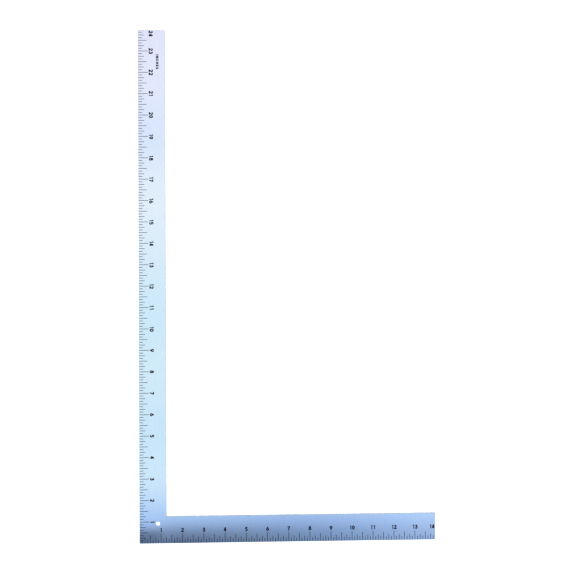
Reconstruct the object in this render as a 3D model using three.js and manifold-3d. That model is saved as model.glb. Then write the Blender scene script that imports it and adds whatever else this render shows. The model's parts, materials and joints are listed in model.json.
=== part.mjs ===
// A steel square: one flat L-shaped plate with an inch scale along the outer edge of each arm.
// It lies on its back, graduated face up. The origin is the outer corner of the heel, on the
// underside, where both scales have their zero. The long arm (the blade) runs along +Y and the
// short arm (the tongue) along +X. Every mark is a shallow recess. Each numeral's recess holds
// its own inlay of black enamel.

import * as THREE from "three";
import { mergeVertices } from "three/addons/utils/BufferGeometryUtils.js";
import Module from "manifold-3d";

const wasm = await Module();
wasm.setup();

// Driving dimensions. Lengths are in millimetres, angles in degrees. Each arm is sheared off a
// little short of the last inch of its scale.
const inch = 25.4;
const bladeInches = 24;
const tongueInches = 14;
const endTrim = 0.8;
const armWidth = 1.25 * inch;
const plateThickness = 1.5;
const hangingHole = { x: 21.7, y: 23.1, diameter: 5.5 };
const holeSegments = 32;

// Graduations, cut in from the outer edge of each arm.
const divisionsPerInch = 8;
const lineWidth = 0.45;
const lineLengths = { inch: 11.4, half: 9.9, quarter: 7.0, eighth: 4.7 };
const markDepth = 0.12;

// Numerals. The enamel stops short of the recess it lies in, all round and at the top.
const numeralHeight = 4.8;
const numeralWidth = 3.1;
const penWidth = 1.0;
const penWidthOfOne = 0.8;
const numeralAdvance = 3.75;
const advanceWithOne = 3.25;
const bladeNumeralBase = 12.7;
const tongueNumeralBase = 13.1;
const endNumeralInset = 4.7;
const enamelClearance = 0.02;
const enamelSink = 0.02;
const arcStep = 22.5;

const overcut = 1;
const bladeLength = bladeInches * inch - endTrim;
const tongueLength = tongueInches * inch - endTrim;
const markFloor = plateThickness - markDepth;

const steel = new THREE.MeshStandardMaterial({ color: 0xb8bfcc, roughness: 0.3, metalness: 1 });
const enamel = new THREE.MeshStandardMaterial({ color: 0x14171f, roughness: 0.5, metalness: 0 });

// The two scales. A scale's own frame has its numerals upright, x along the edge and y into the
// arm, and its numerals stand at the height "base". The blade's frame is turned a quarter
// clockwise, so its scale runs towards -x.
const scales = [
  { arm: "blade", inches: bladeInches, turn: -Math.PI / 2, direction: -1, base: bladeNumeralBase },
  { arm: "tongue", inches: tongueInches, turn: 0, direction: 1, base: tongueNumeralBase },
];

// Solids, for the cuts and joins.

function toSolid(geometry) {
  const bare = geometry.index ? geometry.toNonIndexed() : geometry.clone();
  bare.deleteAttribute("normal");
  bare.deleteAttribute("uv");
  const merged = mergeVertices(bare);
  return new wasm.Manifold(
    new wasm.Mesh({
      numProp: 3,
      vertProperties: merged.attributes.position.array,
      triVerts: new Uint32Array(merged.index.array),
    }),
  );
}

function toGeometry(solid) {
  const mesh = solid.getMesh();
  const geometry = new THREE.BufferGeometry();
  geometry.setAttribute("position", new THREE.BufferAttribute(mesh.vertProperties, 3));
  geometry.setIndex(new THREE.BufferAttribute(mesh.triVerts, 1));
  geometry.computeVertexNormals();
  return geometry;
}

function extrude(shape, depth, curveSegments = 1) {
  return new THREE.ExtrudeGeometry(shape, { depth, curveSegments, bevelEnabled: false });
}

// Strokes that the numerals are drawn with, given by their centre lines. A numeral's own frame
// has its origin at the middle of its base line.

function bar(x1, y1, x2, y2) {
  return (pen, depth) => {
    const along = new THREE.Vector2(x2 - x1, y2 - y1);
    const side = new THREE.Vector2(-along.y, along.x).setLength(pen / 2);
    const shape = new THREE.Shape([
      new THREE.Vector2(x1 - side.x, y1 - side.y),
      new THREE.Vector2(x2 - side.x, y2 - side.y),
      new THREE.Vector2(x2 + side.x, y2 + side.y),
      new THREE.Vector2(x1 + side.x, y1 + side.y),
    ]);
    return toSolid(extrude(shape, depth));
  };
}

function arc(x, y, radius, startAngle, endAngle) {
  return (pen, depth) => {
    const from = THREE.MathUtils.degToRad(startAngle);
    const to = THREE.MathUtils.degToRad(endAngle);
    const shape = new THREE.Shape();
    shape.absarc(x, y, radius + pen / 2, from, to, false);
    shape.absarc(x, y, radius - pen / 2, to, from, true);
    shape.closePath();
    const steps = Math.ceil((endAngle - startAngle) / arcStep);
    return toSolid(extrude(shape, depth, steps / 2));
  };
}

function loop(x, y, radiusX, radiusY = radiusX) {
  return (pen, depth) => {
    const shape = new THREE.Shape();
    shape.absellipse(x, y, radiusX + pen / 2, radiusY + pen / 2, 0, 2 * Math.PI, false, 0);
    const counter = new THREE.Path();
    counter.absellipse(x, y, radiusX - pen / 2, radiusY - pen / 2, 0, 2 * Math.PI, true, 0);
    shape.holes.push(counter);
    return toSolid(extrude(shape, depth, 180 / arcStep));
  };
}

// Levels and radii of the strokes' centre lines, and the angle at which the curve of a 2 meets its
// tail, which it overlaps a little. A stroke that has to end level runs past the base line or the
// cap line, where the numeral is trimmed.
const half = (numeralWidth - penWidth) / 2;
const low = penWidth / 2;
const high = numeralHeight - penWidth / 2;
const below = -overcut;
const above = numeralHeight + overcut;
const bowl = 1.1;
const wideBowl = 1.2;
const crown = (high - low) / 2 - bowl;
const hook = 1.0;
const tailAngle = 39.4;
const tailOverlap = 4;

function onArc(x, y, radius, angle) {
  const a = THREE.MathUtils.degToRad(angle);
  return [x + radius * Math.cos(a), y + radius * Math.sin(a)];
}

const tailStart = onArc(0, high - hook, hook, -tailAngle);
const strokes = {
  0: [loop(0, numeralHeight / 2, half, numeralHeight / 2 - low)],
  1: [bar(0.3, below, 0.3, above), bar(-0.75, high - 0.43, 0.3, high + 0.3)],
  2: [
    arc(0, high - hook, hook, -tailAngle - tailOverlap, 180),
    bar(...tailStart, -half, low - 0.05),
    bar(-half - low, low, half + low, low),
  ],
  3: [
    arc(0, high - crown, crown, -90, 170),
    arc(0, low + bowl, bowl, -170, 90),
    bar(-0.5, low + 2 * bowl, 0.1, low + 2 * bowl),
  ],
  4: [bar(0.5, below, 0.5, above), bar(-1.6, 1.4, 1.35, 1.4), bar(-1.2, 1.45, 0.8, above)],
  5: [
    arc(-0.1, low + bowl, bowl, -150, 125),
    bar(-0.8, high, 1.25, high),
    bar(-0.6, above, ...onArc(-0.1, low + bowl, bowl, 142)),
  ],
  6: [loop(0, low + bowl, wideBowl, bowl), bar(...onArc(0, low + bowl, wideBowl, 165), 0.9, above)],
  7: [bar(-half - low, high, half + low, high), bar(half + 0.29, above, -0.75, below)],
  8: [loop(0, low + bowl, bowl), loop(0, high - crown, crown)],
  9: [loop(0, high - bowl, wideBowl, bowl), bar(...onArc(0, high - bowl, wideBowl, -15), -0.9, below)],
};

// One numeral, standing up from z = 0, drawn fatter all round by "extra".
function numeralSolid(digit, depth, extra = 0) {
  const pen = (digit === "1" ? penWidthOfOne : penWidth) + 2 * extra;
  const drawn = strokes[digit].map((stroke) => stroke(pen, depth));
  const joined = drawn.reduce((whole, stroke) => whole.add(stroke));
  const height = numeralHeight + 2 * extra;
  const trim = new THREE.BoxGeometry(2 * numeralWidth, height, 3 * depth);
  trim.translate(0, numeralHeight / 2, 0);
  return joined.intersect(toSolid(trim));
}

// The places of one scale's numerals, in the scale's own frame.
function numeralPlaces(scale) {
  const places = [];
  for (let number = 1; number <= scale.inches; number += 1) {
    const inset = number === scale.inches ? endNumeralInset : 0;
    const centre = scale.direction * (number * inch - inset);
    const digits = [...String(number)];
    const advance = digits.includes("1") ? advanceWithOne : numeralAdvance;
    digits.forEach((digit, index) => {
      const side = digits.length === 1 ? "" : ["_left", "_right"][index];
      const shift = (index - (digits.length - 1) / 2) * advance;
      places.push({ name: `${scale.arm}_numeral_${number}${side}`, digit, x: centre + shift });
    });
  }
  return places;
}

function lineLength(division) {
  if (division % divisionsPerInch === 0) return lineLengths.inch;
  if (division % (divisionsPerInch / 2) === 0) return lineLengths.half;
  if (division % (divisionsPerInch / 4) === 0) return lineLengths.quarter;
  return lineLengths.eighth;
}

// The recess of one graduation line, in the scale's own frame.
function lineCutter(scale, division) {
  const length = lineLength(division);
  const cutter = new THREE.BoxGeometry(lineWidth, length + overcut, markDepth + overcut);
  const x = (scale.direction * division * inch) / divisionsPerInch;
  return cutter.translate(x, (length - overcut) / 2, markFloor + (markDepth + overcut) / 2);
}

function plateOutline() {
  const outline = new THREE.Shape([
    new THREE.Vector2(0, 0),
    new THREE.Vector2(tongueLength, 0),
    new THREE.Vector2(tongueLength, armWidth),
    new THREE.Vector2(armWidth, armWidth),
    new THREE.Vector2(armWidth, bladeLength),
    new THREE.Vector2(0, bladeLength),
  ]);
  const hole = new THREE.Path();
  hole.absarc(hangingHole.x, hangingHole.y, hangingHole.diameter / 2, 0, 2 * Math.PI, true);
  outline.holes.push(hole);
  return outline;
}

const pocketGeometry = {};
const inlayGeometry = {};
for (const digit of Object.keys(strokes)) {
  const pocket = numeralSolid(digit, markDepth + overcut, enamelClearance);
  pocketGeometry[digit] = toGeometry(pocket);
  inlayGeometry[digit] = toGeometry(numeralSolid(digit, markDepth - enamelSink));
}

// The plate, with a recess cut for every graduation line and every numeral.
function plateSolid() {
  let plate = toSolid(extrude(plateOutline(), plateThickness, holeSegments / 2));
  for (const scale of scales) {
    const cutters = [];
    for (let division = 1; division < scale.inches * divisionsPerInch; division += 1) {
      cutters.push(lineCutter(scale, division));
    }
    for (const place of numeralPlaces(scale)) {
      const pocket = pocketGeometry[place.digit].clone();
      cutters.push(pocket.translate(place.x, scale.base, markFloor));
    }
    for (const cutter of cutters) {
      plate = plate.subtract(toSolid(cutter.rotateZ(scale.turn)));
    }
  }
  return plate;
}

function addNumerals(group, scale) {
  const row = new THREE.Group();
  row.rotation.z = scale.turn;
  for (const place of numeralPlaces(scale)) {
    const inlay = new THREE.Mesh(inlayGeometry[place.digit], enamel);
    inlay.name = place.name;
    inlay.position.set(place.x, scale.base, markFloor);
    row.add(inlay);
  }
  group.add(row);
}

const steelSquare = new THREE.Group();
const plate = new THREE.Mesh(toGeometry(plateSolid()), steel);
plate.name = "square_plate";
steelSquare.add(plate);
scales.forEach((scale) => addNumerals(steelSquare, scale));

export default steelSquare;
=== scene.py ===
"""The looks of the steel square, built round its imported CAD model.

The square lies face up on a pale floor. Shapes are drawn in millimetres, and each finished mesh is
scaled to metres. The plate, its marks and their enamel are rebuilt here with eased edges and round
curves, in the places that the CAD model gives.
"""

import json
import math

import bmesh
import bpy
from mathutils import Matrix, Vector


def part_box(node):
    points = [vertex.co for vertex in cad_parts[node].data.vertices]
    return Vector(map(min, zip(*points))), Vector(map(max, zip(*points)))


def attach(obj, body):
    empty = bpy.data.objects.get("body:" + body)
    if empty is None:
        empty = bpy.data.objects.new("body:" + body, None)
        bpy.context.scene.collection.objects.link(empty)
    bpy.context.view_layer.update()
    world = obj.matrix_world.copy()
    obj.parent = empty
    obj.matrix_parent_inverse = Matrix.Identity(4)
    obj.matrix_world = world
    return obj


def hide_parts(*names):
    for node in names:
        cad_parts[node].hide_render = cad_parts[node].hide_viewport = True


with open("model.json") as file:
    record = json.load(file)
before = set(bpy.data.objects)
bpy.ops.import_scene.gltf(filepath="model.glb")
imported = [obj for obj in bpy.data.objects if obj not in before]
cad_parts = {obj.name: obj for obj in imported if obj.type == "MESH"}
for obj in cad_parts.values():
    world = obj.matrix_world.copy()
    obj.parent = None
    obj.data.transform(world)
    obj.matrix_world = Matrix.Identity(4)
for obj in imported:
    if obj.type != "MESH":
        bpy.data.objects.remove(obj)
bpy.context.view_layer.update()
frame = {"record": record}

# Sizes in millimetres, and angles in degrees. The plate's length, width and thickness come from the
# frame. The frame doesn't list the hole and the marks, which have the CAD model's sizes.
MM = 0.001
INCH = 25.4
plate_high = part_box("square_plate")[1]
TONGUE_LENGTH = plate_high.x / MM
BLADE_LENGTH = plate_high.y / MM
THICKNESS = plate_high.z / MM
MOUNTS = {mount["name"]: mount["pos_m"] for mount in frame["record"]["mounts"]}
ARM_WIDTH = MOUNTS["blade_inner_edge"][0] / MM
EDGE_RADIUS = 0.3
CORNER_RADIUS = 0.6
INNER_CORNER_RADIUS = 0.5
HOLE_CENTRE = (21.7, 23.1)
HOLE_RADIUS = 2.75
HOLE_EASING = 0.25
EDGE_STEPS = 8
CORNER_STEPS = 10
HOLE_STEPS = 72

DIVISIONS_PER_INCH = 8
LINE_WIDTH = 0.45
INCH_LINE, HALF_LINE, QUARTER_LINE, EIGHTH_LINE = 11.4, 9.9, 7.0, 4.7
MARK_DEPTH = 0.12
MARK_FLOOR = THICKNESS - MARK_DEPTH
ENAMEL_CLEARANCE = 0.01
ENAMEL_SINK = 0.02
OVERCUT = 1.0
ARC_STEP = 7.5

NUMERAL_HEIGHT = 4.8
NUMERAL_WIDTH = 3.1
NUMERAL_PEN = 1.0
PEN_OF_ONE = 0.8
NUMERAL_ADVANCE = 3.75
ADVANCE_WITH_ONE = 3.25
BLADE_NUMERAL_BASE = 12.7
TONGUE_NUMERAL_BASE = 13.1
END_NUMERAL_INSET = 4.7

LETTER_HEIGHT = 3.0
LETTER_PEN = 0.8
LETTER_GAP = 1.05
LETTER_PLACE = (22.5 * INCH, 0.895 * INCH)
LETTERED_WORD = "INCHES"

# Each scale's own frame has x along the edge, numerals upright at their base, and y into the arm.
SCALES = {
    "blade": {
        "inches": round(BLADE_LENGTH / INCH),
        "turn": -90,
        "direction": -1,
        "base": BLADE_NUMERAL_BASE,
    },
    "tongue": {
        "inches": round(TONGUE_LENGTH / INCH),
        "turn": 0,
        "direction": 1,
        "base": TONGUE_NUMERAL_BASE,
    },
}

# The plate's three kinds of surface, in the order of its materials. A polygon is level or upright
# by the z of its normal, and it lies on a plane that it is within the tolerance of.
FACE, EDGE, RECESS = range(3)
LEVEL_NORMAL = 0.999
UPRIGHT_NORMAL = 0.001
HEIGHT_TOLERANCE = 0.001
GRAIN_UV = "grain"

# The camera, with its place in metres, its turn in degrees, and its lens and sensor in millimetres.
CAMERA_PLACE = (-0.1846, 0.2508, 2.9643)
CAMERA_TURN = (1.018, -6.976, -0.258)
CAMERA_LENS = 156.25
SENSOR_WIDTH = 36

# The floor, in metres.
FLOOR_HALF_WIDTH = 4
FLOOR_GAP = 0.0003


def set_camera():
    """Looks down on the square through a long lens."""
    camera = bpy.data.objects.new("camera", bpy.data.cameras.new("camera"))
    camera.data.lens = CAMERA_LENS
    camera.data.sensor_width = SENSOR_WIDTH
    camera.location = CAMERA_PLACE
    camera.rotation_euler = [math.radians(angle) for angle in CAMERA_TURN]
    bpy.context.scene.collection.objects.link(camera)
    bpy.context.scene.camera = camera


# Meshes and solids.


def new_object(name, bm):
    """A linked object that holds the bmesh, with its faces pointing out."""
    bmesh.ops.recalc_face_normals(bm, faces=bm.faces)
    mesh = bpy.data.meshes.new(name)
    bm.to_mesh(mesh)
    bm.free()
    item = bpy.data.objects.new(name, mesh)
    bpy.context.scene.collection.objects.link(item)
    return item


def discard(item):
    mesh = item.data
    bpy.data.objects.remove(item)
    bpy.data.meshes.remove(mesh)


def combine(item, *steps):
    """Applies boolean steps to item, each an operation and the object it works with."""
    for operation, tool in steps:
        modifier = item.modifiers.new(operation, "BOOLEAN")
        modifier.operation = operation
        modifier.solver = "MANIFOLD"
        modifier.object = tool
    depsgraph = bpy.context.evaluated_depsgraph_get()
    made = bpy.data.meshes.new_from_object(item.evaluated_get(depsgraph))
    item.modifiers.clear()
    old = item.data
    item.data = made
    bpy.data.meshes.remove(old)
    return item


def add_box(bm, x, y, z):
    """Adds a closed box. Each of x, y and z is its lowest and highest value."""
    size = (x[1] - x[0], y[1] - y[0], z[1] - z[0])
    middle = ((x[0] + x[1]) / 2, (y[0] + y[1]) / 2, (z[0] + z[1]) / 2)
    place = Matrix.Translation(middle) @ Matrix.Diagonal((*size, 1))
    bmesh.ops.create_cube(bm, size=1, matrix=place)


def bridge(bm, first, second):
    """Quads between two rings of vertices."""
    for index in range(len(first)):
        after = (index + 1) % len(first)
        bm.faces.new((first[index], first[after], second[after], second[index]))


# Strokes, which numerals and letters are drawn with. A stroke is its stations, each a point on its
# centre line and a normal there, and whether it closes on itself.


def bar(x1, y1, x2, y2):
    start, end = Vector((x1, y1)), Vector((x2, y2))
    along = (end - start).normalized()
    normal = Vector((-along.y, along.x))
    return [(start, normal), (end, normal)], False


def arc(x, y, radius, start_angle, end_angle):
    count = math.ceil((end_angle - start_angle) / ARC_STEP)
    stations = []
    for index in range(count + 1):
        angle = math.radians(start_angle + (end_angle - start_angle) * index / count)
        normal = Vector((math.cos(angle), math.sin(angle)))
        stations.append((Vector((x, y)) + normal * radius, normal))
    return stations, False


def loop(x, y, radius_x, radius_y=None):
    radius_y = radius_y or radius_x
    stations = []
    for index in range(round(360 / ARC_STEP)):
        angle = math.radians(index * ARC_STEP)
        point = Vector((x + radius_x * math.cos(angle), y + radius_y * math.sin(angle)))
        normal = Vector((radius_y * math.cos(angle), radius_x * math.sin(angle))).normalized()
        stations.append((point, normal))
    return stations, True


def on_arc(x, y, radius, angle):
    """The point at an angle on an arc."""
    angle = math.radians(angle)
    return x + radius * math.cos(angle), y + radius * math.sin(angle)


def stroke_object(stroke, pen, depth):
    """A stroke as a flat solid that stands on z = 0."""
    stations, closed = stroke
    bm = bmesh.new()
    rings = []
    for point, normal in stations:
        left = point + normal * pen / 2
        right = point - normal * pen / 2
        corners = ((*left, 0), (*right, 0), (*right, depth), (*left, depth))
        rings.append([bm.verts.new(corner) for corner in corners])
    for first, second in zip(rings, rings[1:]):
        bridge(bm, first, second)
    if closed:
        bridge(bm, rings[-1], rings[0])
    else:
        bm.faces.new(rings[0])
        bm.faces.new(rings[-1])
    return new_object("stroke", bm)


def drawn_mesh(strokes, pen, height, depth, extra):
    """Strokes joined to one flat solid and trimmed level at the base line and the cap line."""
    parts = [stroke_object(stroke, pen + 2 * extra, depth) for stroke in strokes]
    bm = bmesh.new()
    reach = 3 * height
    add_box(bm, (-reach, reach), (-extra, height + extra), (-depth, 2 * depth))
    trim = new_object("trim", bm)
    steps = [("UNION", part) for part in parts[1:]] + [("INTERSECT", trim)]
    whole = combine(parts[0], *steps)
    mesh = whole.data.copy()
    for item in (*parts, trim):
        discard(item)
    return mesh


def numeral_strokes():
    """The strokes of each figure, about the middle of its base line."""
    half = (NUMERAL_WIDTH - NUMERAL_PEN) / 2
    low = NUMERAL_PEN / 2
    high = NUMERAL_HEIGHT - low
    below = -OVERCUT
    above = NUMERAL_HEIGHT + OVERCUT
    bowl = 1.1
    wide_bowl = 1.2
    crown = (high - low) / 2 - bowl
    hook = 1.0
    tail_angle = 39.4
    tail_overlap = 4
    tail = on_arc(0, high - hook, hook, -tail_angle)
    return {
        "0": [loop(0, NUMERAL_HEIGHT / 2, half, NUMERAL_HEIGHT / 2 - low)],
        "1": [bar(0.3, below, 0.3, above), bar(-0.75, high - 0.43, 0.3, high + 0.3)],
        "2": [
            arc(0, high - hook, hook, -tail_angle - tail_overlap, 180),
            bar(*tail, -half, low - 0.05),
            bar(-half - low, low, half + low, low),
        ],
        "3": [
            arc(0, high - crown, crown, -90, 170),
            arc(0, low + bowl, bowl, -170, 90),
            bar(-0.5, low + 2 * bowl, 0.1, low + 2 * bowl),
        ],
        "4": [bar(0.5, below, 0.5, above), bar(-1.6, 1.4, 1.35, 1.4), bar(-1.2, 1.45, 0.8, above)],
        "5": [
            arc(-0.1, low + bowl, bowl, -150, 125),
            bar(-0.8, high, 1.25, high),
            bar(-0.6, above, *on_arc(-0.1, low + bowl, bowl, 142)),
        ],
        "6": [
            loop(0, low + bowl, wide_bowl, bowl),
            bar(*on_arc(0, low + bowl, wide_bowl, 165), 0.9, above),
        ],
        "7": [bar(-half - low, high, half + low, high), bar(half + 0.29, above, -0.75, below)],
        "8": [loop(0, low + bowl, bowl), loop(0, high - crown, crown)],
        "9": [
            loop(0, high - bowl, wide_bowl, bowl),
            bar(*on_arc(0, high - bowl, wide_bowl, -15), -0.9, below),
        ],
    }


def letter_strokes():
    """The strokes of the small word's letters, with each letter's width."""
    low = LETTER_PEN / 2
    high = LETTER_HEIGHT - low
    middle = LETTER_HEIGHT / 2
    below = -OVERCUT
    above = LETTER_HEIGHT + OVERCUT
    round_radius = (high - low) / 2
    curl = (high - low) / 4
    side = 0.85
    arm = 0.6
    slope = 2 * side / LETTER_HEIGHT * OVERCUT
    return {
        "I": ([bar(0, below, 0, above)], LETTER_PEN),
        "N": (
            [
                bar(-side, below, -side, above),
                bar(side, below, side, above),
                bar(-side - slope, above, side + slope, below),
            ],
            2 * side + LETTER_PEN,
        ),
        "C": ([arc(0.2, middle, round_radius, 48, 312)], 2 * round_radius),
        "H": (
            [
                bar(-side, below, -side, above),
                bar(side, below, side, above),
                bar(-side, middle, side, middle),
            ],
            2 * side + LETTER_PEN,
        ),
        "E": (
            [
                bar(-arm, below, -arm, above),
                bar(-arm, low, arm + low, low),
                bar(-arm, middle, arm, middle),
                bar(-arm, high, arm + low, high),
            ],
            2 * arm + LETTER_PEN,
        ),
        "S": (
            [arc(0, high - curl, curl, 35, 275), arc(0, low + curl, curl, -145, 95)],
            2 * curl + LETTER_PEN,
        ),
    }


# Where the marks lie.


def scale_matrix(arm):
    """The turn from a scale's own frame to the plate's."""
    return Matrix.Rotation(math.radians(SCALES[arm]["turn"]), 4, "Z")


def numeral_places(arm):
    """Each number of a scale, with its digits and their middles in the scale's own frame."""
    scale = SCALES[arm]
    for number in range(1, scale["inches"] + 1):
        inset = END_NUMERAL_INSET if number == scale["inches"] else 0
        centre = scale["direction"] * (number * INCH - inset)
        digits = str(number)
        advance = ADVANCE_WITH_ONE if "1" in digits else NUMERAL_ADVANCE
        first = centre - (len(digits) - 1) / 2 * advance
        yield number, [(digit, first + index * advance) for index, digit in enumerate(digits)]


def letter_places(letters):
    """Each letter of the small word, with its middle in the blade scale's own frame."""
    widths = [letters[letter][1] for letter in LETTERED_WORD]
    left = -LETTER_PLACE[0] - (sum(widths) + LETTER_GAP * (len(widths) - 1)) / 2
    for letter in LETTERED_WORD:
        width = letters[letter][1]
        yield letter, left + width / 2
        left += width + LETTER_GAP


def line_length(division):
    if division % DIVISIONS_PER_INCH == 0:
        return INCH_LINE
    if division % (DIVISIONS_PER_INCH // 2) == 0:
        return HALF_LINE
    if division % (DIVISIONS_PER_INCH // 4) == 0:
        return QUARTER_LINE
    return EIGHTH_LINE


def add_lines(bm, arm, shrink=0.0):
    """Adds a scale's graduation lines, which run in from past the outer edge."""
    scale = SCALES[arm]
    start = len(bm.verts)
    for division in range(1, scale["inches"] * DIVISIONS_PER_INCH):
        x = scale["direction"] * division * INCH / DIVISIONS_PER_INCH
        half = LINE_WIDTH / 2 - shrink
        end = line_length(division) - shrink
        add_box(bm, (x - half, x + half), (-OVERCUT, end), (MARK_FLOOR, THICKNESS + OVERCUT))
    bm.verts.ensure_lookup_table()
    bmesh.ops.transform(bm, matrix=scale_matrix(arm), verts=bm.verts[start:])


def add_placed(bm, mesh, matrix):
    """Adds a copy of the mesh, moved by the matrix."""
    placed = mesh.copy()
    placed.transform(matrix)
    bm.from_mesh(placed)
    bpy.data.meshes.remove(placed)


# The plate.


def outline(inset):
    """The square's outline with rounded corners, drawn in by inset, anticlockwise."""
    r = CORNER_RADIUS
    inner = ARM_WIDTH + INNER_CORNER_RADIUS
    corners = [
        (r, r, 180, 270, r - inset),
        (TONGUE_LENGTH - r, r, 270, 360, r - inset),
        (TONGUE_LENGTH - r, ARM_WIDTH - r, 0, 90, r - inset),
        (inner, inner, 270, 180, INNER_CORNER_RADIUS + inset),
        (ARM_WIDTH - r, BLADE_LENGTH - r, 0, 90, r - inset),
        (r, BLADE_LENGTH - r, 90, 180, r - inset),
    ]
    points = []
    for x, y, start, end, radius in corners:
        for step in range(CORNER_STEPS + 1):
            points.append(on_arc(x, y, radius, start + (end - start) * step / CORNER_STEPS))
    return points


def hole_outline(inset):
    """The hanging hole's outline, widened by inset."""
    return [
        on_arc(*HOLE_CENTRE, HOLE_RADIUS + inset, 360 * step / HOLE_STEPS)
        for step in range(HOLE_STEPS)
    ]


def edge_profile(radius):
    """Inset and height along an eased edge, from the underside up to the face."""
    profile = []
    for step in range(EDGE_STEPS + 1):
        angle = math.radians(90 * step / EDGE_STEPS)
        profile.append((radius - radius * math.sin(angle), radius - radius * math.cos(angle)))
    return profile + [(inset, THICKNESS - z) for inset, z in reversed(profile)]


def blank_plate(name):
    """The plate with its hanging hole and eased edges, before any mark is cut."""
    bm = bmesh.new()
    caps = []
    for draw, radius in ((outline, EDGE_RADIUS), (hole_outline, HOLE_EASING)):
        rings = []
        for inset, z in edge_profile(radius):
            rings.append([bm.verts.new((x, y, z)) for x, y in draw(inset)])
        for first, second in zip(rings, rings[1:]):
            bridge(bm, first, second)
        caps.append((rings[0], rings[-1]))
    for side in (0, 1):
        edges = []
        for cap in caps:
            ring = cap[side]
            edges += [bm.edges.get((ring[i - 1], ring[i])) for i in range(len(ring))]
        bmesh.ops.triangle_fill(bm, edges=edges, use_beauty=True, use_dissolve=False)
    return new_object(name, bm)


def finish_piece(item, replaced):
    """Scales a finished mesh to metres and ties it to the frame."""
    item.data.transform(Matrix.Scale(MM, 4))
    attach(item, "root")
    if replaced:
        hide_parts(*replaced)


def sort_plate_faces(mesh):
    """Gives each polygon its material, and a map in metres that the grain follows."""
    uv = mesh.uv_layers.new(name=GRAIN_UV)
    for polygon in mesh.polygons:
        centre = polygon.center
        level = abs(polygon.normal.z) > LEVEL_NORMAL
        upright = abs(polygon.normal.z) < UPRIGHT_NORMAL
        on_face = min(abs(centre.z - THICKNESS), abs(centre.z)) < HEIGHT_TOLERANCE
        in_mark = MARK_FLOOR - HEIGHT_TOLERANCE < centre.z < THICKNESS
        if level and on_face:
            polygon.material_index = FACE
        elif in_mark and (level or upright):
            polygon.material_index = RECESS
        else:
            polygon.material_index = EDGE
        in_hole = (centre.xy - Vector(HOLE_CENTRE)).length < 2 * HOLE_RADIUS
        polygon.use_smooth = in_hole and polygon.material_index == EDGE
        for loop_index in polygon.loop_indices:
            point = mesh.vertices[mesh.loops[loop_index].vertex_index].co
            across = (point.x, point.y) if level else (point.x + point.y, point.z)
            uv.data[loop_index].uv = (across[0] * MM, across[1] * MM)


def flatten_faces(mesh):
    """Puts every vertex of the two flat faces exactly on its plane."""
    for vertex in mesh.vertices:
        for level in (0, THICKNESS):
            if abs(vertex.co.z - level) < 2 * HEIGHT_TOLERANCE:
                vertex.co.z = level


def draw_mark(strokes, pen, height):
    """The pocket of one figure or letter, and the enamel that fills it."""
    pocket = drawn_mesh(strokes, pen, height, MARK_DEPTH + OVERCUT, ENAMEL_CLEARANCE)
    fill = drawn_mesh(strokes, pen, height, MARK_DEPTH - ENAMEL_SINK, 0)
    return pocket, fill


def make_inlay(name, enamel, cutter, marks, replaced):
    """One piece of enamel, and its pockets added to the cutter.

    Each mark is the mesh of its pocket, the mesh of its enamel and the matrix of their place.
    """
    inlay = bmesh.new()
    for pocket, fill, place in marks:
        add_placed(cutter, pocket, place)
        add_placed(inlay, fill, place)
    item = new_object(name, inlay)
    item.data.materials.append(enamel)
    finish_piece(item, replaced)


def make_numerals(enamel, cutter):
    """The enamel of each number on both scales."""
    figures = {}
    for digit, strokes in numeral_strokes().items():
        pen = PEN_OF_ONE if digit == "1" else NUMERAL_PEN
        figures[digit] = draw_mark(strokes, pen, NUMERAL_HEIGHT)
    for arm, scale in SCALES.items():
        for number, digits in numeral_places(arm):
            marks = []
            for digit, x in digits:
                place = scale_matrix(arm) @ Matrix.Translation((x, scale["base"], MARK_FLOOR))
                marks.append((*figures[digit], place))
            name = f"{arm}_numeral_{number}"
            sides = ("",) if len(digits) == 1 else ("_left", "_right")
            make_inlay(name + "_enamel", enamel, cutter, marks, [name + side for side in sides])


def make_lettering(enamel, cutter):
    """The enamel of the small word near the end of the blade."""
    letters = letter_strokes()
    drawn = {}
    for letter, (strokes, _) in letters.items():
        drawn[letter] = draw_mark(strokes, LETTER_PEN, LETTER_HEIGHT)
    base = LETTER_PLACE[1] - LETTER_HEIGHT / 2
    marks = []
    for letter, x in letter_places(letters):
        place = scale_matrix("blade") @ Matrix.Translation((x, base, MARK_FLOOR))
        marks.append((*drawn[letter], place))
    make_inlay("blade_lettering_enamel", enamel, cutter, marks, None)


def make_plate(steels, cutters):
    """The steel plate, with every mark cut into it."""
    steps = [("DIFFERENCE", cutter) for cutter in cutters]
    plate = combine(blank_plate("square_plate_finished"), *steps)
    plate.data.materials.clear()
    for material in steels:
        plate.data.materials.append(material)
    flatten_faces(plate.data)
    sort_plate_faces(plate.data)
    finish_piece(plate, ["square_plate"])
    for cutter in cutters:
        discard(cutter)


def make_line_enamel(enamel):
    """The enamel of each scale's lines. It follows the eased edge, a little below the steel."""
    sunk = blank_plate("sunk_plate")
    sunk.data.transform(Matrix.Translation((0, 0, -ENAMEL_SINK)))
    fills = {}
    for arm in SCALES:
        bm = bmesh.new()
        add_lines(bm, arm, shrink=ENAMEL_CLEARANCE)
        fills[arm] = new_object(f"{arm}_line_enamel", bm)
    combine(fills["tongue"], ("DIFFERENCE", fills["blade"]), ("INTERSECT", sunk))
    combine(fills["blade"], ("INTERSECT", sunk))
    for item in fills.values():
        item.data.materials.clear()
        item.data.materials.append(enamel)
        finish_piece(item, None)
    discard(sunk)


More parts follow.
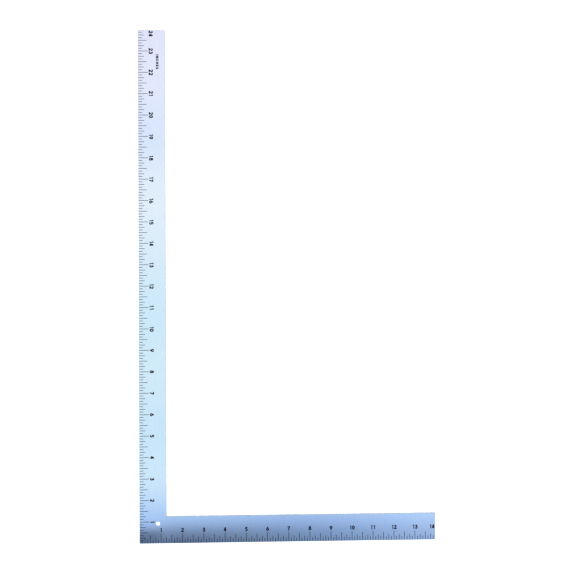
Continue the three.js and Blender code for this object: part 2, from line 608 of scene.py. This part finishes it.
def make_square():
    """The plate, and the enamel in its numerals, letters and lines.

    The lines of the two scales cross at the heel, so the tongue's have a cutter of their own.
    """
    enamel = make_enamel()
    cutter = bmesh.new()
    make_numerals(enamel, cutter)
    make_lettering(enamel, cutter)
    add_lines(cutter, "blade")
    tongue_cutter = bmesh.new()
    add_lines(tongue_cutter, "tongue")
    cutters = [new_object("cutter", cutter), new_object("tongue_cutter", tongue_cutter)]
    make_plate([make_steel(), make_edge_steel(), make_recess_steel()], cutters)
    make_line_enamel(enamel)


# Materials.


def new_material(name):
    """A material, with its node tree and its principled shader."""
    material = bpy.data.materials.new(name)
    material.use_nodes = True
    tree = material.node_tree
    return material, tree, tree.nodes["Principled BSDF"]


def add_node(tree, kind, **settings):
    """Adds a node. Each setting is an input's value, or the node's own."""
    node = tree.nodes.new("ShaderNode" + kind)
    for key, value in settings.items():
        if key in node.inputs:
            node.inputs[key].default_value = value
        else:
            setattr(node, key, value)
    return node


def object_coordinates(tree):
    return add_node(tree, "TexCoord").outputs["Object"]


def stretched_noise(tree, coordinates, stretch, detail=3.0, turn=0.0):
    """Noise whose features measure 1 / stretch metres along x, y and z."""
    mapping = add_node(tree, "Mapping")
    mapping.inputs["Scale"].default_value = stretch
    mapping.inputs["Rotation"].default_value[2] = math.radians(turn)
    noise = add_node(tree, "TexNoise", Scale=1.0, Detail=detail)
    tree.links.new(coordinates, mapping.inputs["Vector"])
    tree.links.new(mapping.outputs["Vector"], noise.inputs["Vector"])
    return noise.outputs["Fac"]


def ranged(tree, value, low, high, from_low=0.3, from_high=0.7):
    """Maps a noise value to the range low to high."""
    node = add_node(tree, "MapRange")
    node.inputs["From Min"].default_value = from_low
    node.inputs["From Max"].default_value = from_high
    node.inputs["To Min"].default_value = low
    node.inputs["To Max"].default_value = high
    tree.links.new(value, node.inputs["Value"])
    return node.outputs["Result"]


def combined(tree, operation, first, second):
    """What a math operation makes of two values."""
    node = add_node(tree, "Math", operation=operation)
    tree.links.new(first, node.inputs[0])
    tree.links.new(second, node.inputs[1])
    return node.outputs["Value"]


def set_bump(tree, shader, height, strength, distance):
    bump = add_node(tree, "Bump", Strength=strength, Distance=distance)
    tree.links.new(height, bump.inputs["Height"])
    tree.links.new(bump.outputs["Normal"], shader.inputs["Normal"])


def set_mixed_colour(tree, shader, factor, first, second):
    """The base colour goes from the first to the second as the factor goes from 0 to 1."""
    mix = add_node(tree, "Mix", data_type="RGBA")
    mix.inputs[6].default_value = (*first, 1)
    mix.inputs[7].default_value = (*second, 1)
    tree.links.new(factor, mix.inputs["Factor"])
    tree.links.new(mix.outputs[2], shader.inputs["Base Color"])


def make_steel():
    """Sheet steel, with a fine polishing grain and streaks along +Y, faint scratches and haze."""
    material, tree, shader = new_material("brushed_steel")
    coordinates = object_coordinates(tree)
    grain = stretched_noise(tree, coordinates, (4000, 30, 1), detail=2)
    haze = stretched_noise(tree, coordinates, (14, 9, 1), detail=4)
    fine = ranged(tree, grain, -0.008, 0.008)
    soft = ranged(tree, haze, 0.23, 0.26)
    tree.links.new(combined(tree, "ADD", fine, soft), shader.inputs["Roughness"])
    scratch = stretched_noise(tree, coordinates, (1500, 12, 1), detail=0, turn=4)
    scratches = ranged(tree, scratch, 0, 1, 0.74, 0.80)
    height = combined(tree, "SUBTRACT", grain, scratches)
    set_bump(tree, shader, height, strength=0.35, distance=2e-6)
    streak = stretched_noise(tree, coordinates, (9000, 60, 1), detail=4)
    streaks = ranged(tree, streak, 0, 1)
    set_mixed_colour(tree, shader, streaks, (0.76, 0.79, 0.82), (0.84, 0.87, 0.90))
    tangent = add_node(tree, "Tangent", direction_type="UV_MAP", uv_map=GRAIN_UV)
    tree.links.new(tangent.outputs["Tangent"], shader.inputs["Tangent"])
    shader.inputs["Metallic"].default_value = 1
    shader.inputs["Anisotropic"].default_value = 0.5
    return material


def make_edge_steel():
    """The sheared and eased edges: ground across the thickness, dull, and worn bright in places."""
    material, tree, shader = new_material("ground_edge_steel")
    coordinates = object_coordinates(tree)
    grind = stretched_noise(tree, coordinates, (3500, 3500, 300), detail=2)
    wear = stretched_noise(tree, coordinates, (90, 90, 400), detail=5)
    coarse = ranged(tree, grind, 0.24, 0.36)
    dull = ranged(tree, wear, 0.08, 0.0)
    tree.links.new(combined(tree, "ADD", coarse, dull), shader.inputs["Roughness"])
    set_bump(tree, shader, grind, strength=0.4, distance=3e-6)
    worn = ranged(tree, wear, 0, 1, 0.4, 0.6)
    set_mixed_colour(tree, shader, worn, (0.62, 0.67, 0.73), (0.78, 0.83, 0.89))
    shader.inputs["Metallic"].default_value = 1
    return material


def make_recess_steel():
    """The etched floor and walls of the marks, matt and dark where the enamel meets them."""
    material, tree, shader = new_material("etched_steel")
    pits = stretched_noise(tree, object_coordinates(tree), (9000, 9000, 9000), detail=2)
    tree.links.new(ranged(tree, pits, 0.5, 0.8), shader.inputs["Roughness"])
    shader.inputs["Base Color"].default_value = (0.2, 0.21, 0.23, 1)
    shader.inputs["Metallic"].default_value = 1
    return material


def make_enamel():
    """Baked black enamel, with a slight orange peel and dust dulling its surface."""
    material, tree, shader = new_material("black_enamel")
    coordinates = object_coordinates(tree)
    peel = stretched_noise(tree, coordinates, (6000, 6000, 6000), detail=3)
    dust = stretched_noise(tree, coordinates, (400, 400, 400), detail=4)
    tree.links.new(ranged(tree, dust, 0.42, 0.55), shader.inputs["Roughness"])
    set_bump(tree, shader, peel, strength=0.3, distance=4e-6)
    set_mixed_colour(tree, shader, dust, (0.005, 0.006, 0.010), (0.014, 0.016, 0.024))
    shader.inputs["Specular IOR Level"].default_value = 0.25
    return material


# The floor and the light.


def mirrored(x, y, height):
    """The point at a height that the plate, at a place in inches, mirrors to the camera."""
    place = Vector((x, y)) * INCH * MM
    return place + (place - Vector(CAMERA_PLACE[:2])) * height / CAMERA_PLACE[2]


def ramp(tree, value, low, high, stops):
    """Colours, or grey levels, at places between low and high, blended over a value from 0 to 1."""
    node = add_node(tree, "ValToRGB")
    elements = node.color_ramp.elements
    elements.remove(elements[-1])
    for index, (place, colour) in enumerate(stops):
        position = (place - low) / (high - low)
        element = elements[0] if index == 0 else elements.new(position)
        element.position = position
        element.color = (*colour, 1) if isinstance(colour, tuple) else (colour, colour, colour, 1)
    tree.links.new(value, node.inputs["Fac"])
    return node.outputs["Color"]


def add_panel(name, height, x_range, y_range, axis, colours, covers=()):
    """A glowing panel overhead that only the metal sees, mirrored.

    Ranges and stops are the places on the plate, in inches, where the camera sees it mirrored.
    Where the product of its covers is below one, what is behind it shows through.
    """
    near = mirrored(x_range[0], y_range[0], height)
    far = mirrored(x_range[1], y_range[1], height)
    bm = bmesh.new()
    bmesh.ops.create_grid(bm, x_segments=1, y_segments=1, size=0.5)
    panel = new_object(name, bm)
    panel.location = (*(near + far) / 2, height)
    panel.scale = (*(far - near), 1)
    material, tree, _ = new_material(name)
    place = add_node(tree, "SeparateXYZ")
    tree.links.new(add_node(tree, "TexCoord").outputs["Generated"], place.inputs["Vector"])
    ranges = {"X": x_range, "Y": y_range}

    glow = add_node(tree, "Emission")
    colour = ramp(tree, place.outputs[axis], *ranges[axis], colours)
    tree.links.new(colour, glow.inputs["Color"])
    surface = glow.outputs["Emission"]
    for cover_axis, stops in covers:
        cover = ramp(tree, place.outputs[cover_axis], *ranges[cover_axis], stops)
        clear = add_node(tree, "BsdfTransparent")
        blend = add_node(tree, "MixShader")
        tree.links.new(cover, blend.inputs["Fac"])
        tree.links.new(clear.outputs["BSDF"], blend.inputs[1])
        tree.links.new(surface, blend.inputs[2])
        surface = blend.outputs["Shader"]
    tree.links.new(surface, tree.nodes["Material Output"].inputs["Surface"])
    material.cycles.emission_sampling = "NONE"
    panel.data.materials.append(material)
    panel.visible_camera = False
    panel.visible_diffuse = False
    panel.visible_shadow = False
    panel.visible_transmission = False


def add_floor():
    """A pale matt floor just below the plate, clear from below so that the underside shows."""
    bm = bmesh.new()
    bmesh.ops.create_grid(bm, x_segments=1, y_segments=1, size=FLOOR_HALF_WIDTH)
    floor = new_object("floor", bm)
    floor.location = (*(plate_high.xy / 2), -FLOOR_GAP)
    material, tree, shader = new_material("floor")
    shader.inputs["Base Color"].default_value = (0.9, 0.9, 0.9, 1)
    shader.inputs["Roughness"].default_value = 1
    shader.inputs["Specular IOR Level"].default_value = 0
    clear = add_node(tree, "BsdfTransparent")
    sides = add_node(tree, "MixShader")
    tree.links.new(add_node(tree, "NewGeometry").outputs["Backfacing"], sides.inputs["Fac"])
    tree.links.new(shader.outputs["BSDF"], sides.inputs[1])
    tree.links.new(clear.outputs["BSDF"], sides.inputs[2])
    tree.links.new(sides.outputs["Shader"], tree.nodes["Material Output"].inputs["Surface"])
    floor.data.materials.append(material)
    floor.visible_glossy = False


def add_panels():
    """A wide softbox behind tinted gel, a blue reflector, and dark flags over tongue and heel."""
    add_panel(
        "softbox",
        height=0.4,
        x_range=(-14, 28),
        y_range=(-12, 36),
        axis="Y",
        colours=[
            (3, (0.95, 1.08, 1.15)),
            (5, (0.84, 1.01, 1.13)),
            (8, (0.96, 1.08, 1.12)),
            (10.5, (0.87, 1.05, 1.14)),
            (13.5, (0.99, 1.08, 1.13)),
            (16.5, (1.08, 1.12, 1.14)),
            (19, (0.94, 1.01, 1.15)),
            (21.5, (1.09, 1.08, 1.16)),
            (24, (1.03, 1.02, 1.14)),
        ],
    )
    add_panel(
        "blue_reflector",
        height=0.15,
        x_range=(-8, 22),
        y_range=(-14, 3.2),
        axis="X",
        colours=[
            (2, (0.66, 0.84, 1.12)),
            (4, (0.63, 0.81, 1.11)),
            (7, (0.59, 0.76, 1.06)),
            (10, (0.62, 0.79, 1.09)),
            (13.5, (0.74, 0.90, 1.17)),
        ],
        covers=[("Y", [(1.2, 1.0), (2.0, 0.46), (2.5, 0.17), (3.2, 0.0)])],
    )
    add_panel(
        "dark_flag",
        height=0.07,
        x_range=(-8, 22),
        y_range=(-12, 1.4),
        axis="X",
        colours=[
            (0, (0.24, 0.30, 0.42)),
            (6, (0.28, 0.36, 0.49)),
            (13, (0.26, 0.36, 0.53)),
        ],
        covers=[
            ("X", [(0.8, 0.0), (1.4, 1.0), (6, 0.86), (8.5, 0.7), (11, 0.5), (13.5, 0.36)]),
            (
                "Y",
                [
                    (0.1, 0.98),
                    (0.3, 0.87),
                    (0.47, 0.80),
                    (0.65, 0.51),
                    (0.85, 0.31),
                    (1.1, 0.07),
                    (1.4, 0.0),
                ],
            ),
        ],
    )
    add_panel(
        "heel_flag",
        height=0.05,
        x_range=(-8, 2),
        y_range=(-12, 1.2),
        axis="Y",
        colours=[
            (0.2, (0.28, 0.36, 0.49)),
            (0.45, (0.26, 0.34, 0.46)),
            (0.7, (0.26, 0.31, 0.46)),
        ],
        covers=[
            ("X", [(0.8, 1.0), (1.4, 0.0)]),
            ("Y", [(0.3, 1.0), (0.5, 0.92), (0.7, 0.30), (0.9, 0.08), (1.2, 0.0)]),
        ],
    )


def add_world():
    """A soft white surround, and a high sun that whitens the floor and isn't reflected."""
    world = bpy.data.worlds.new("studio")
    bpy.context.scene.world = world
    world.use_nodes = True
    world.node_tree.nodes["Background"].inputs["Color"].default_value = (0.93, 0.96, 1, 1)
    world.node_tree.nodes["Background"].inputs["Strength"].default_value = 0.85
    world.cycles.sampling_method = "NONE"
    sun = bpy.data.objects.new("sun", bpy.data.lights.new("sun", "SUN"))
    sun.data.energy = 2.2
    sun.data.angle = math.radians(40)
    sun.rotation_euler = (math.radians(20), math.radians(-15), 0)
    sun.visible_glossy = False
    bpy.context.scene.collection.objects.link(sun)


def set_view():
    """Plain colours, with the contrast raised."""
    bpy.context.scene.view_settings.view_transform = "Standard"
    bpy.context.scene.view_settings.gamma = 0.65


set_camera()
make_square()
add_floor()
add_panels()
add_world()
set_view()
